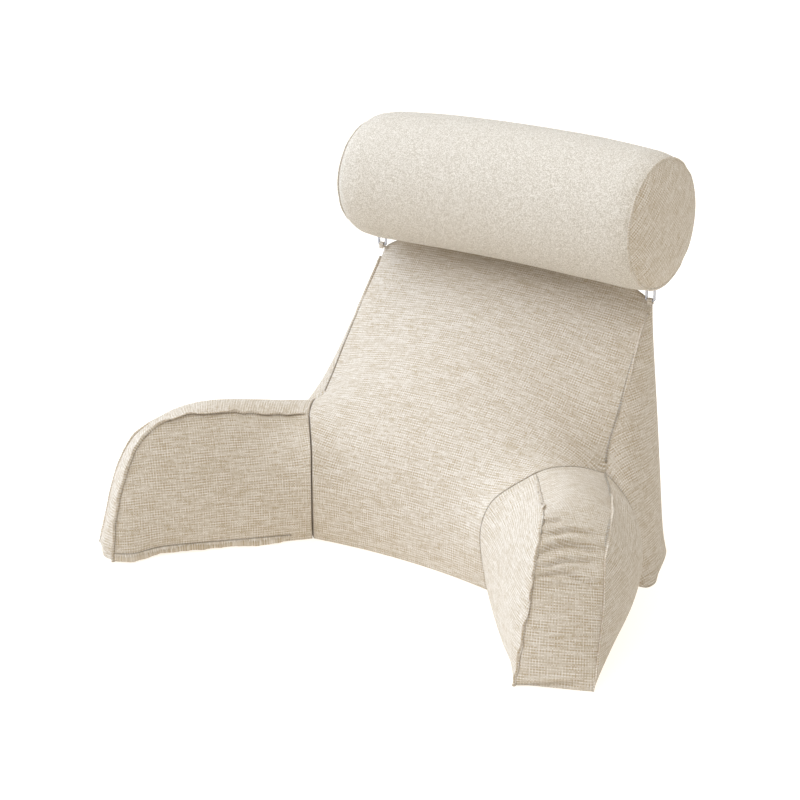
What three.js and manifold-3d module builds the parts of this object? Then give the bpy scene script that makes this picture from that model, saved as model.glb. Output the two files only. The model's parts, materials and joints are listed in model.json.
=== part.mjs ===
// A reading backrest: a stuffed wedge with two splayed arms and a neck roll clipped on its top.
// Millimetres. The part rests on Z = 0, its front faces -Y, and the plane X = 0 cuts it into two like halves.
import * as THREE from "three";
import { mergeVertices } from "three/addons/utils/BufferGeometryUtils.js";
import Module from "manifold-3d";

const wasm = await Module();
wasm.setup();

// Driving sizes
const DEPTH_SHIFT = -72; // brings the origin under the middle of the whole part
const GAP = 0.3; // between two pieces that touch
const SEAM_GAP = 0.55; // along the arm, which leaves about the same gap square to its slanting root
const CELLS = { width: 20, arm: 14, height: 8, thick: 5, lean: 8 };

// Corners of the right half
const FOOT_INNER = [142, 0, 0]; // where the arm's inner face leaves the wedge, on the ground
const TOP_INNER = [183, 46, 160];
const TOP_OUTER = [233, 139, 147];
const FOOT_OUTER = [284, 124, 0];
const BACK_FOOT = [250, 266, 0];
const BACK_TOP = [219, 272, 334];
const TIP_INNER = [318, -206, 0];
const TIP_OUTER = [396, -160, 0];

// A point well inside each of the two stuffed forms
const WEDGE_MIDDLE = [0, 170, 110];
const ARM_MIDDLE = [300, -30, 80];

// Seams of the right half, each a short row of points from its first corner to its last
const SEAMS = {
  rootInner: [FOOT_INNER, [139, -5, 33], [136, -9, 66], [137, -8, 97], [146, 4, 127], TOP_INNER],
  rootTop: [TOP_INNER, [195, 67, 164], [214, 100, 161], TOP_OUTER],
  rootOuter: [FOOT_OUTER, [291, 126, 50], [287, 129, 88], [275, 131, 112], [257, 134, 130], TOP_OUTER],
  rootFoot: [FOOT_INNER, FOOT_OUTER],
  flank: [TOP_OUTER, [229, 152, 171], [228, 179, 214], [224, 211, 263], [219, 247, 311], BACK_TOP],
  flankFoot: [FOOT_OUTER, [307, 127, 0], [310, 144, 0], [299, 172, 0], [268, 248, 0], BACK_FOOT],
  backEdge: [BACK_FOOT, [238, 271, 110], [228, 274, 220], BACK_TOP],
  innerFlange: [
    TOP_INNER, [224, -10, 169], [266, -66, 177], [292, -104, 178],
    [312, -148, 152], [320, -181, 99], [321, -199, 40], TIP_INNER,
  ],
  outerFlange: [
    TOP_OUTER, [259, 106, 141], [301, 46, 149], [332, -7, 156],
    [367, -81, 131], [382, -110, 94], [391, -140, 40], TIP_OUTER,
  ],
  innerFoot: [FOOT_INNER, [195, -63, 0], [244, -118, 0], [285, -161, 0], TIP_INNER],
  outerFoot: [FOOT_OUTER, [310, 40, 0], [344, -45, 0], [376, -115, 0], TIP_OUTER],
  tipFoot: [TIP_INNER, [356, -182, 0], TIP_OUTER],
};

// Where a flange turns from the arm's top into its front, as a share of its length
const BEND = { innerFlange: 0.45, outerFlange: 0.5 };

// How far the middle of a face stands out from the sheet that its seams alone would span
const CROWN = { front: 40, back: 20, side: 7, armInner: 13, armOuter: 38, gusset: 7.5 };
const FOOT_BOW = 13; // how far the middle of the front foot is drawn back

// Stitched lips that stand along a seam
const LIP = { height: 6.5, root: 4, thick: 3 };
const OUTER_LIP = { height: 4, root: 4, thick: 3 };
const FOOT_LIP = { height: 6, root: 3, thick: 3 };
const WELT = { height: 2.5, root: 4, thick: 3 };

// Neck roll, with its radius at stations along it
const ROLL = { x: 4, y: 260, z: 446, bow: 8, rise: 2.5, capCrown: 12, seam: 1.2, rest: 0.6 };
const ROLL_RADII = [
  [-240, 77],
  [-226, 85],
  [-200, 89],
  [-120, 91.5],
  [0, 92.5],
  [120, 93.5],
  [204, 92],
  [231, 89],
];
const ROLL_LEFT = ROLL_RADII[0][0];
const ROLL_RIGHT = ROLL_RADII[ROLL_RADII.length - 1][0];
const ROLL_CELLS = { round: 36, barrel: 14, cap: 5 };

// Clip and its cloth tab
const CLIP = { x: 218, y: 266, width: 15, height: 20, bar: 3, thick: 3.6, corner: 4, bottom: 338.6 };
const TAB = { width: 7, thick: 1.4, foot: 334.7 };

const vector = ([x, y, z]) => new THREE.Vector3(x, y, z);
const mirrored = (p) => new THREE.Vector3(-p.x, p.y, p.z);

// A seam's points at equal steps along its smooth curve.
function seam(name, cells, from = 0, to = 1) {
  const curve = new THREE.CatmullRomCurve3(SEAMS[name].map(vector), false, "centripetal");
  return Array.from({ length: cells + 1 }, (_, k) => curve.getPointAt(from + ((to - from) * k) / cells));
}

// The roll's radius at a distance x from its middle, read off its table of stations.
function rollRadius(x) {
  const next = Math.max(1, ROLL_RADII.findIndex(([station]) => station >= x));
  const [x0, r0] = ROLL_RADII[next - 1];
  const [x1, r1] = ROLL_RADII[next];
  return r0 + ((r1 - r0) * (x - x0)) / (x1 - x0);
}

// The height of the roll's axis: bowed up over the wedge, and a little higher at its right end.
const rollAxis = (x) => ROLL.z + ROLL.bow * (1 - Math.pow(x / ROLL_RIGHT, 2)) + (ROLL.rise * x) / ROLL_RIGHT;

// The wedge's top seam follows the neck roll that rests on it and drops to the two corners.
function topSeam(cells) {
  const points = [];
  for (let i = 0; i <= cells; i++) {
    const x = BACK_TOP[0] * (2 * (i / cells) - 1);
    const underRoll = Math.min(rollAxis(x) - rollRadius(x), rollAxis(-x) - rollRadius(-x)) + ROLL.rest;
    const drop = (underRoll - BACK_TOP[2]) * Math.pow(Math.abs(x) / BACK_TOP[0], 9);
    points.push(new THREE.Vector3(x, BACK_TOP[1], underRoll - drop));
  }
  return points;
}

// A sheet between four seams, drawn tight like a soap film and then crowned along its normals.
// bottom and top run from left to right, left and right from bottom to top.
function sheet({ bottom, right, top, left, crown = 0, middle = [0, 0, 0], power = 2.4, endless = false }) {
  const nu = bottom.length - 1;
  const nv = left.length - 1;
  const grid = [];
  for (let j = 0; j <= nv; j++) {
    const row = [];
    for (let i = 0; i <= nu; i++) {
      const u = i / nu;
      const v = j / nv;
      const sides = left[j].clone().lerp(right[j], u);
      const ends = bottom[i].clone().lerp(top[i], v);
      const low = left[0].clone().lerp(right[0], u);
      const high = left[nv].clone().lerp(right[nv], u);
      row.push(sides.add(ends).sub(low.lerp(high, v)));
    }
    grid.push(row);
  }
  for (let round = 0; round < 240; round++) {
    for (let j = 1; j < nv; j++) {
      for (let i = 1; i < nu; i++) {
        const sum = grid[j - 1][i].clone().add(grid[j + 1][i]).add(grid[j][i - 1]).add(grid[j][i + 1]);
        grid[j][i].copy(sum.multiplyScalar(0.25));
      }
    }
  }
  const raised = grid.map((row) => row.map((p) => p.clone()));
  const outward = crown * Math.sign(facing(grid, vector(middle)));
  for (let j = 1; j < nv; j++) {
    for (let i = 1; i < nu; i++) {
      const along = grid[j][i + 1].clone().sub(grid[j][i - 1]);
      const upward = grid[j + 1][i].clone().sub(grid[j - 1][i]);
      const normal = along.cross(upward).normalize();
      const across = 1 - Math.pow(Math.abs((2 * i) / nu - 1), power);
      const length = 1 - Math.pow(Math.abs((2 * j) / nv - 1), endless ? 8 : power);
      raised[j][i].addScaledVector(normal, outward * across * length);
    }
  }
  return raised;
}

// Above zero where a sheet's own normal, at its centre, looks away from the middle of the body.
function facing(grid, middle) {
  const j = Math.floor((grid.length - 1) / 2);
  const i = Math.floor((grid[0].length - 1) / 2);
  const along = grid[j][i + 1].clone().sub(grid[j][i]);
  const upward = grid[j + 1][i].clone().sub(grid[j][i]);
  return along.cross(upward).dot(grid[j][i].clone().sub(middle));
}

// Welds sheets into one closed body; each sheet is turned so that its faces look away from the middle.
function weld(sheets, middle) {
  const positions = [];
  for (const grid of sheets) {
    const nv = grid.length - 1;
    const nu = grid[0].length - 1;
    const away = facing(grid, vector(middle)) > 0;
    for (let j = 0; j < nv; j++) {
      for (let i = 0; i < nu; i++) {
        const [a, b, c, d] = [grid[j][i], grid[j][i + 1], grid[j + 1][i + 1], grid[j + 1][i]];
        const shorter = a.distanceTo(c) < b.distanceTo(d);
        const halves = shorter ? [a, b, c, a, c, d] : [a, b, d, b, c, d];
        if (!away) halves.reverse();
        for (const p of halves) positions.push(p.x, p.y, p.z);
      }
    }
  }
  return closed(positions);
}

// One indexed geometry from loose triangles, without the ones that have no area.
function closed(positions) {
  const loose = new THREE.BufferGeometry();
  loose.setAttribute("position", new THREE.Float32BufferAttribute(positions, 3));
  const joined = mergeVertices(loose, 1e-3);
  const corners = joined.index.array;
  const kept = [];
  for (let k = 0; k < corners.length; k += 3) {
    const [a, b, c] = corners.slice(k, k + 3);
    if (a !== b && b !== c && c !== a) kept.push(a, b, c);
  }
  joined.setIndex(kept);
  return joined;
}

// A closed bar through rings of points, each ring seen the same way round, with flat ends.
function bar(rings) {
  const size = rings[0].length;
  const positions = [];
  const push = (...points) => points.forEach((p) => positions.push(p.x, p.y, p.z));
  for (let k = 0; k + 1 < rings.length; k++) {
    for (let i = 0; i < size; i++) {
      const j = (i + 1) % size;
      push(rings[k][i], rings[k][j], rings[k + 1][j], rings[k][i], rings[k + 1][j], rings[k + 1][i]);
    }
  }
  const last = rings[rings.length - 1];
  for (let i = 1; i + 1 < size; i++) {
    push(rings[0][0], rings[0][i + 1], rings[0][i]);
    push(last[0], last[i], last[i + 1]);
  }
  return closed(positions);
}

function solid(geometry) {
  const plain = geometry.clone();
  plain.deleteAttribute("normal");
  plain.deleteAttribute("uv");
  const joined = mergeVertices(plain, 1e-3);
  const mesh = new wasm.Mesh({
    numProp: 3,
    vertProperties: new Float32Array(joined.attributes.position.array),
    triVerts: new Uint32Array(joined.index.array),
  });
  mesh.merge();
  const made = new wasm.Manifold(mesh);
  return made.volume() < 0 ? turned(joined) : made;
}

function turned(joined) {
  const corners = Uint32Array.from(joined.index.array).reverse();
  return new wasm.Manifold(
    new wasm.Mesh({
      numProp: 3,
      vertProperties: new Float32Array(joined.attributes.position.array),
      triVerts: corners,
    }),
  );
}

function geometryOf(made) {
  const mesh = made.getMesh();
  const geometry = new THREE.BufferGeometry();
  geometry.setAttribute("position", new THREE.BufferAttribute(mesh.vertProperties.slice(), 3));
  geometry.setIndex(new THREE.BufferAttribute(mesh.triVerts.slice(), 1));
  return geometry;
}

// A lip along a seam: it stands away from the two rows of cloth that meet there.
function lip(line, besideA, besideB, size, from, to, rise = 0) {
  const rings = [];
  for (let k = from; k <= to; k++) {
    const before = line[Math.max(k - 1, 0)];
    const after = line[Math.min(k + 1, line.length - 1)];
    const along = after.clone().sub(before).normalize();
    const inward = besideA[k].clone().add(besideB[k]).multiplyScalar(0.5).sub(line[k]);
    inward.addScaledVector(along, -inward.dot(along)).normalize();
    inward.lerp(new THREE.Vector3(0, 0, -1), rise).normalize();
    const across = inward.clone().cross(along).normalize().multiplyScalar(size.thick / 2);
    const edge = k === from || k === to ? 0.55 : 1;
    const foot = line[k].clone().addScaledVector(inward, size.root);
    const crest = line[k].clone().addScaledVector(inward, -size.height * edge);
    crest.z = Math.max(crest.z, 0);
    foot.z = Math.max(foot.z, 0);
    rings.push([
      foot.clone().add(across),
      foot.clone().sub(across),
      crest.clone().addScaledVector(across, -0.7),
      crest.clone().addScaledVector(across, 0.7),
    ]);
  }
  for (const ring of rings) for (const p of ring) p.z = Math.max(p.z, 0);
  return bar(rings);
}

// The arm on the right: two faces, a gusset over its top and down its front, a flat foot and the root.
function armGrids() {
  const { arm, height, thick } = CELLS;
  const edge = {
    rootInner: seam("rootInner", height),
    rootOuter: seam("rootOuter", height),
    rootTop: seam("rootTop", thick),
    rootFoot: seam("rootFoot", thick),
    innerTop: seam("innerFlange", arm, 0, BEND.innerFlange),
    outerTop: seam("outerFlange", arm, 0, BEND.outerFlange),
    innerFront: seam("innerFlange", height, 1, BEND.innerFlange),
    outerFront: seam("outerFlange", height, 1, BEND.outerFlange),
    innerFoot: seam("innerFoot", arm),
    outerFoot: seam("outerFoot", arm),
    tipFoot: seam("tipFoot", thick),
  };
  const innerLine = [...edge.innerTop, ...edge.innerFront.slice(0, -1).reverse()];
  const outerLine = [...edge.outerTop, ...edge.outerFront.slice(0, -1).reverse()];
  const inner = sheet({
    bottom: edge.innerFoot,
    right: edge.innerFront,
    top: edge.innerTop,
    left: edge.rootInner,
    crown: CROWN.armInner,
    middle: ARM_MIDDLE,
  });
  const outer = sheet({
    bottom: edge.outerFoot,
    right: edge.outerFront,
    top: edge.outerTop,
    left: edge.rootOuter,
    crown: CROWN.armOuter,
    middle: ARM_MIDDLE,
  });
  const gusset = sheet({
    bottom: edge.rootTop,
    right: outerLine,
    top: edge.tipFoot,
    left: innerLine,
    crown: CROWN.gusset,
    middle: ARM_MIDDLE,
    power: 2,
    endless: true,
  });
  const foot = sheet({
    bottom: edge.rootFoot,
    right: edge.outerFoot,
    top: edge.tipFoot,
    left: edge.innerFoot,
  });
  return { edge, inner, outer, gusset, foot, root: rootGrid(), innerLine, outerLine };
}

// The face where wedge and arm are sewn together.
function rootGrid() {
  return sheet({
    bottom: seam("rootFoot", CELLS.thick),
    right: seam("rootOuter", CELLS.height),
    top: seam("rootTop", CELLS.thick),
    left: seam("rootInner", CELLS.height),
  });
}

function armSolid() {
  const grids = armGrids();
  const { inner, outer, gusset, foot, root, innerLine, outerLine, edge } = grids;
  const columns = (grid, k) => grid.map((row) => row[k]);
  const innerBeside = [...inner[inner.length - 2], ...columns(inner, CELLS.arm - 1).slice(0, -1).reverse()];
  const outerBeside = [...outer[outer.length - 2], ...columns(outer, CELLS.arm - 1).slice(0, -1).reverse()];
  const last = innerLine.length - 1;
  const body = solid(weld([inner, outer, gusset, foot, root], ARM_MIDDLE));
  const innerLip = lip(innerLine, innerBeside, columns(gusset, 1), LIP, 1, last);
  const outerLip = lip(outerLine, outerBeside, columns(gusset, CELLS.thick - 1), OUTER_LIP, 1, last);
  const footLip = lip(edge.innerFoot, inner[1], columns(foot, 1), FOOT_LIP, 4, CELLS.arm, 0.75);
  const sewn = body.add(solid(innerLip)).add(solid(outerLip)).add(solid(footLip));
  const away = vector(TIP_INNER).sub(vector(FOOT_INNER)).normalize().multiplyScalar(SEAM_GAP);
  return sewn.translate([away.x, away.y, away.z]);
}

// The wedge: a crowned front, an upright back, a side and an arm root at each end, and a flat foot.
function wedgeSolid() {
  const { width, height, thick, lean } = CELLS;
  const joined = (...lines) => lines.reduce((all, line) => [...all, ...line.slice(all.length ? 1 : 0)], []);
  const rise = joined(seam("rootInner", height), seam("rootTop", thick), seam("flank", lean));
  const footSide = joined(seam("rootFoot", thick), seam("flankFoot", lean));
  const back = seam("backEdge", height);
  const across = (to, bow) =>
    Array.from({ length: width + 1 }, (_, i) => {
      const point = mirrored(to).lerp(to, i / width);
      point.y += bow * (1 - Math.pow((2 * i) / width - 1, 2));
      return point;
    });
  const top = topSeam(width);
  const frontFoot = across(vector(FOOT_INNER), FOOT_BOW);
  const backFoot = across(vector(BACK_FOOT), 4);
  const front = sheet({
    bottom: frontFoot,
    right: rise,
    top,
    left: rise.map(mirrored),
    crown: CROWN.front,
    middle: WEDGE_MIDDLE,
    power: 2,
  });
  const rear = sheet({
    bottom: backFoot,
    right: back,
    top,
    left: back.map(mirrored),
    crown: CROWN.back,
    middle: WEDGE_MIDDLE,
  });
  const foot = sheet({
    bottom: frontFoot,
    right: footSide,
    top: backFoot,
    left: footSide.map(mirrored),
  });
  const side = sheet({
    bottom: seam("flankFoot", lean),
    right: back,
    top: seam("flank", lean),
    left: seam("rootOuter", height),
    crown: CROWN.side,
    middle: WEDGE_MIDDLE,
  });
  const root = rootGrid();
  const turn = (grid) => grid.map((row) => row.map(mirrored));
  let made = solid(weld([front, rear, foot, side, root, turn(side), turn(root)], WEDGE_MIDDLE));
  const column = (grid, k) => grid.map((row) => row[k]);
  const from = height + thick;
  const line = rise.slice(from);
  const beside = column(front, width - 1).slice(from);
  const welt = lip(line, beside, side[side.length - 2], WELT, 1, lean - 1);
  const mirroredWelt = lip(
    line.map(mirrored),
    beside.map(mirrored),
    side[side.length - 2].map(mirrored),
    WELT,
    1,
    lean - 1,
  );
  made = made.add(solid(welt)).add(solid(mirroredWelt));
  return made;
}

// The neck roll: a slightly barrelled tube with crowned ends and a sewn edge around each.
function rollGeometry() {
  const end = (edge, side) => {
    const radius = rollRadius(edge);
    const points = [];
    for (let k = 0; k <= ROLL_CELLS.cap; k++) {
      const r = (radius - 3) * (k / ROLL_CELLS.cap);
      const crown = ROLL.capCrown * (1 - Math.pow(r / radius, 2.4));
      points.push(new THREE.Vector2(r, edge + side * crown));
    }
    points.push(new THREE.Vector2(radius + ROLL.seam, edge));
    points.push(new THREE.Vector2(rollRadius(edge - side * 4), edge - side * 4));
    return points;
  };
  const barrel = [];
  for (let k = 0; k <= ROLL_CELLS.barrel; k++) {
    const x = ROLL_RIGHT - 12 + ((ROLL_LEFT - ROLL_RIGHT + 24) * k) / ROLL_CELLS.barrel;
    barrel.push(new THREE.Vector2(rollRadius(x), x));
  }
  const profile = [...end(ROLL_RIGHT, 1), ...barrel, ...end(ROLL_LEFT, -1).reverse()];
  const lathe = new THREE.LatheGeometry(profile, ROLL_CELLS.round);
  lathe.rotateZ(-Math.PI / 2);
  const points = lathe.attributes.position;
  for (let k = 0; k < points.count; k++) points.setZ(k, points.getZ(k) + rollAxis(points.getX(k)));
  lathe.translate(ROLL.x, ROLL.y, 0);
  lathe.deleteAttribute("uv");
  lathe.deleteAttribute("normal");
  return geometryOf(solid(closed(Array.from(lathe.toNonIndexed().attributes.position.array))));
}

// A frame with rounded corners in the plane of X and Z, open in its middle for the tab.
function clipGeometry() {
  const round = (path, halfWidth, low, high, corner) => {
    path.moveTo(halfWidth - corner, low);
    path.quadraticCurveTo(halfWidth, low, halfWidth, low + corner);
    path.lineTo(halfWidth, high - corner);
    path.quadraticCurveTo(halfWidth, high, halfWidth - corner, high);
    path.lineTo(corner - halfWidth, high);
    path.quadraticCurveTo(-halfWidth, high, -halfWidth, high - corner);
    path.lineTo(-halfWidth, low + corner);
    path.quadraticCurveTo(-halfWidth, low, corner - halfWidth, low);
    path.closePath();
    return path;
  };
  const edge = 0.5;
  const outside = CLIP.width / 2 - edge;
  const inside = CLIP.width / 2 - CLIP.bar + edge;
  const outline = round(new THREE.Shape(), outside, edge, CLIP.height - edge, CLIP.corner);
  outline.holes.push(round(new THREE.Path(), inside, CLIP.bar - edge, CLIP.height - CLIP.bar, 1));
  const ring = new THREE.ExtrudeGeometry(outline, {
    depth: CLIP.thick - 2 * edge,
    bevelEnabled: true,
    bevelSize: edge,
    bevelThickness: edge,
    bevelSegments: 2,
    curveSegments: 6,
  });
  ring.translate(0, 0, edge - CLIP.thick / 2);
  ring.rotateX(Math.PI / 2);
  ring.translate(CLIP.x, CLIP.y, CLIP.bottom);
  return ring;
}

// A folded cloth tab that goes through the clip and back to the wedge's corner.
function tabGeometry() {
  const reach = CLIP.bottom + CLIP.bar + GAP - TAB.foot;
  const half = CLIP.thick / 2 + GAP;
  const shape = new THREE.Shape();
  shape.moveTo(-half - TAB.thick, 0);
  shape.lineTo(-half, 0);
  shape.lineTo(-half, reach);
  shape.lineTo(half, reach);
  shape.lineTo(half, 0);
  shape.lineTo(half + TAB.thick, 0);
  shape.lineTo(half + TAB.thick, reach + TAB.thick * 0.5);
  shape.lineTo(half, reach + TAB.thick);
  shape.lineTo(-half, reach + TAB.thick);
  shape.lineTo(-half - TAB.thick, reach + TAB.thick * 0.5);
  const tape = new THREE.ExtrudeGeometry(shape, { depth: TAB.width, bevelEnabled: false });
  tape.translate(0, 0, -TAB.width / 2);
  tape.rotateX(Math.PI / 2);
  tape.rotateZ(Math.PI / 2);
  tape.translate(CLIP.x, CLIP.y, TAB.foot);
  return tape;
}

const cloth = { color: 0xd9ccb4, roughness: 0.9, metalness: 0 };
const rollCloth = { color: 0xddd3bf, roughness: 0.9, metalness: 0 };
const plastic = { color: 0xe4e3ea, roughness: 0.25, metalness: 0 };

const part = new THREE.Group();

function place(name, geometry, look) {
  const shown = geometry.clone();
  shown.translate(0, DEPTH_SHIFT, 0);
  shown.computeVertexNormals();
  const mesh = new THREE.Mesh(shown, new THREE.MeshStandardMaterial(look));
  mesh.name = name;
  part.add(mesh);
}

const arm = armSolid();
const clip = clipGeometry();
const tab = tabGeometry();
place("backrest", geometryOf(wedgeSolid()), cloth);
place("arm_right", geometryOf(arm), cloth);
place("arm_left", geometryOf(arm.mirror([1, 0, 0])), cloth);
place("bolster", rollGeometry(), rollCloth);
place("clip_right", geometryOf(solid(clip)), plastic);
place("clip_left", geometryOf(solid(clip).mirror([1, 0, 0])), plastic);
place("tab_right", geometryOf(solid(tab)), cloth);
place("tab_left", geometryOf(solid(tab).mirror([1, 0, 0])), cloth);

export default part;
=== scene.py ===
# %% [markdown]
# # A reading backrest in slubbed linen cloth
# Five kinds of piece make it: a stuffed wedge, two stuffed arms, a neck roll, and a small clip with
# its cloth tab at each end of the roll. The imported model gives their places; this lesson gives them
# cloth, stuffing, seams and light. Everything is in metres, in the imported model's own frame.

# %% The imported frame
import json
import math
import bpy
import numpy as np
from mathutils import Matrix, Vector

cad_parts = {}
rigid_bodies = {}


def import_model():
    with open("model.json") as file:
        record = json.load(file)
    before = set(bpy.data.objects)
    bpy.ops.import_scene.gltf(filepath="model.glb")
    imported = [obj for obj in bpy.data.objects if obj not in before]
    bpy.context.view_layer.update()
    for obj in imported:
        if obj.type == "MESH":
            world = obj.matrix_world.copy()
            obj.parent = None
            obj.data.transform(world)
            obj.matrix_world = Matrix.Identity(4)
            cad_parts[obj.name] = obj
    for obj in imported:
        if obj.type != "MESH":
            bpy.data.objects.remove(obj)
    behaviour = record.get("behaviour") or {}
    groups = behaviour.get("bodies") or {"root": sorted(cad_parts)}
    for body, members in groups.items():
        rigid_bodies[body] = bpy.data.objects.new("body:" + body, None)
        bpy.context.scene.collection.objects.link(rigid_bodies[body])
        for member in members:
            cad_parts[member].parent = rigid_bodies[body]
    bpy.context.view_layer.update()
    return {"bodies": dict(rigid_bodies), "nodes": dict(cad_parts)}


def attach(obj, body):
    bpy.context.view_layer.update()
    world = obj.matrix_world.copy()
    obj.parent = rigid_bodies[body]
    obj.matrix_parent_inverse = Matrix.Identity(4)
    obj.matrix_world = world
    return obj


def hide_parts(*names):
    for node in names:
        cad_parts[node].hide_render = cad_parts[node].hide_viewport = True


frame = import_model()
print("packed nodes:", sorted(frame["nodes"]))

# %% [markdown]
# ## Seams first
# A sewn cushion is decided by its seams: the cloth between them only swells. So the seams are short
# tables of points, each joined by one smooth curve, and every face is a sheet hung between four of
# them. The tables are in millimetres, as a maker would measure them off the right half.

# %% Sizes and seam tables
MM = 0.001
DEPTH_SHIFT = -72.0

FOOT_INNER, TOP_INNER, TOP_OUTER = [142, 0, 0], [183, 46, 160], [233, 139, 140]
FOOT_OUTER, BACK_FOOT, BACK_TOP = [284, 124, 0], [250, 266, 0], [219, 272, 334]
TIP_INNER, TIP_OUTER = [318, -206, 0], [396, -160, 0]

SEAMS = {
    "root_inner": [FOOT_INNER, [139, -5, 33], [136, -9, 66], [137, -8, 97], [146, 4, 127], TOP_INNER],
    "root_top": [TOP_INNER, [195, 67, 163], [214, 100, 158], TOP_OUTER],
    "root_outer": [FOOT_OUTER, [291, 126, 50], [287, 129, 88], [275, 131, 110], [257, 135, 126], TOP_OUTER],
    "root_foot": [FOOT_INNER, FOOT_OUTER],
    "flank": [TOP_OUTER, [229, 152, 171], [228, 179, 214], [224, 211, 263], [219, 247, 311], BACK_TOP],
    "flank_foot": [FOOT_OUTER, [307, 127, 0], [310, 144, 0], [299, 172, 0], [268, 248, 0], BACK_FOOT],
    "back_edge": [BACK_FOOT, [238, 271, 110], [228, 274, 220], BACK_TOP],
    "inner_flange": [TOP_INNER, [224, -10, 169], [266, -66, 177], [292, -104, 178],
                     [312, -148, 152], [320, -181, 99], [321, -199, 40], TIP_INNER],
    "outer_flange": [TOP_OUTER, [259, 106, 139], [301, 46, 149], [332, -7, 156],
                     [367, -81, 131], [382, -110, 94], [391, -140, 40], TIP_OUTER],
    "inner_foot": [FOOT_INNER, [195, -63, 0], [244, -118, 0], [285, -161, 0], TIP_INNER],
    "outer_foot": [FOOT_OUTER, [310, 40, 0], [344, -45, 0], [376, -115, 0], TIP_OUTER],
    "tip_foot": [TIP_INNER, [356, -182, 0], TIP_OUTER],
}
INNER_BEND, OUTER_BEND = 0.45, 0.5  # where a flange turns from the arm's top into its front


def in_frame(rows):
    """Points of a table in millimetres, moved by the part's depth shift, in metres."""
    return (np.array(rows, float) + (0.0, DEPTH_SHIFT, 0.0)) * MM


WEDGE_MIDDLE, ARM_MIDDLE = in_frame([0, 170, 110]), in_frame([300, -30, 80])


def run_of(points):
    """The distance of each point of a row from its first one, along the row."""
    return np.concatenate([[0], np.cumsum(np.linalg.norm(np.diff(points, axis=0), axis=1))])


def smooth_curve(points, cells, start=0.0, end=1.0):
    """A centripetal Catmull-Rom curve: between two neighbours it is the cubic whose end slopes are
    weighed by the square roots of the distances around them. It is read at equal steps of length."""
    padded = np.vstack([2 * points[0] - points[1], points, 2 * points[-1] - points[-2]])
    p0, p1, p2, p3 = padded[:-3], padded[1:-2], padded[2:-1], padded[3:]
    steps = np.sqrt(np.linalg.norm(np.diff(padded, axis=0), axis=1))[:, None]
    d0, d1, d2 = steps[:-2], steps[1:-1], steps[2:]
    m1 = ((p1 - p0) / d0 - (p2 - p0) / (d0 + d1) + (p2 - p1) / d1) * d1
    m2 = ((p2 - p1) / d1 - (p3 - p1) / (d1 + d2) + (p3 - p2) / d2) * d1
    t = np.linspace(0, 1, 65)[:-1, None, None]
    dense = ((2 * t**3 - 3 * t**2 + 1) * p1 + (t**3 - 2 * t**2 + t) * m1
             + (3 * t**2 - 2 * t**3) * p2 + (t**3 - t**2) * m2)
    dense = np.vstack([dense.transpose(1, 0, 2).reshape(-1, 3), points[-1:]])
    length = run_of(dense)
    wanted = length[-1] * np.linspace(start, end, cells + 1)
    return np.stack([np.interp(wanted, length, dense[:, k]) for k in range(3)], 1)


def seam(name, cells, start=0.0, end=1.0):
    return smooth_curve(in_frame(SEAMS[name]), cells, start, end)


def mirrored(points):
    return points * (-1.0, 1.0, 1.0)


print("inner flange is", round(float(run_of(seam("inner_flange", 60))[-1]), 3), "m")

# %% [markdown]
# ## A sheet of cloth between four seams
# Four seams could be filled by straight rules, but the cloth would then show hard creases. Here the
# rules are only a start: relaxing moves every point to the mean of its four neighbours, as a soap
# film does, and a crown then lifts the middle along the sheet's own normals, as stuffing does.

# %% Sheet, its facing and its crown
RELAXING = 5000


def normals_of(grid):
    """The unit normal at each point of a grid: its slope along a row crossed with that up a column."""
    normal = np.cross(np.gradient(grid, axis=1), np.gradient(grid, axis=0))
    return normal / np.maximum(np.linalg.norm(normal, axis=2, keepdims=True), 1e-12)


def faces_out(grid, middle):
    """True where the sheet's normal, at its centre, looks away from the middle of the body."""
    j, i = grid.shape[0] // 2, grid.shape[1] // 2
    return float(normals_of(grid)[j, i] @ (grid[j, i] - middle)) > 0


def four_mean(grid):
    """For each inner point of a grid, the mean of its four neighbours."""
    return (grid[:-2, 1:-1] + grid[2:, 1:-1] + grid[1:-1, :-2] + grid[1:-1, 2:]) / 4


def sheet(bottom, right, top, left, crown=0.0, middle=(0, 0, 0), power=2.4, endless=False):
    """Rules between the four seams, less the rule between their corners; relaxed; then crowned by
    (1 - |2u - 1|^power)(1 - |2v - 1|^power), where u and v run from 0 to 1 across the sheet."""
    u = np.linspace(0, 1, len(bottom))[None, :, None]
    v = np.linspace(0, 1, len(left))[:, None, None]
    grid = (1 - u) * left[:, None] + u * right[:, None] + (1 - v) * bottom[None] + v * top[None]
    grid -= (1 - v) * ((1 - u) * left[0] + u * right[0]) + v * ((1 - u) * left[-1] + u * right[-1])
    for _ in range(RELAXING):
        grid[1:-1, 1:-1] = four_mean(grid)
    across = 1 - np.abs(2 * u - 1) ** power
    length = 1 - np.abs(2 * v - 1) ** (8 if endless else power)
    side = 1 if faces_out(grid, middle) else -1
    return grid + normals_of(grid) * (side * crown * MM) * across * length


# %% [markdown]
# ## Threads that follow the cloth
# The weave must run along each cut panel, bend with it, and keep its real size. A projection would
# smear it on the turns. So each panel gets cloth coordinates in metres: a step along the surface
# counts by how far it goes along the weft and along the warp, and relaxing shares the remainder
# that a crowned sheet, which can't be laid flat, always leaves.

# %% Cloth coordinates
LAYING = 900


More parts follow.
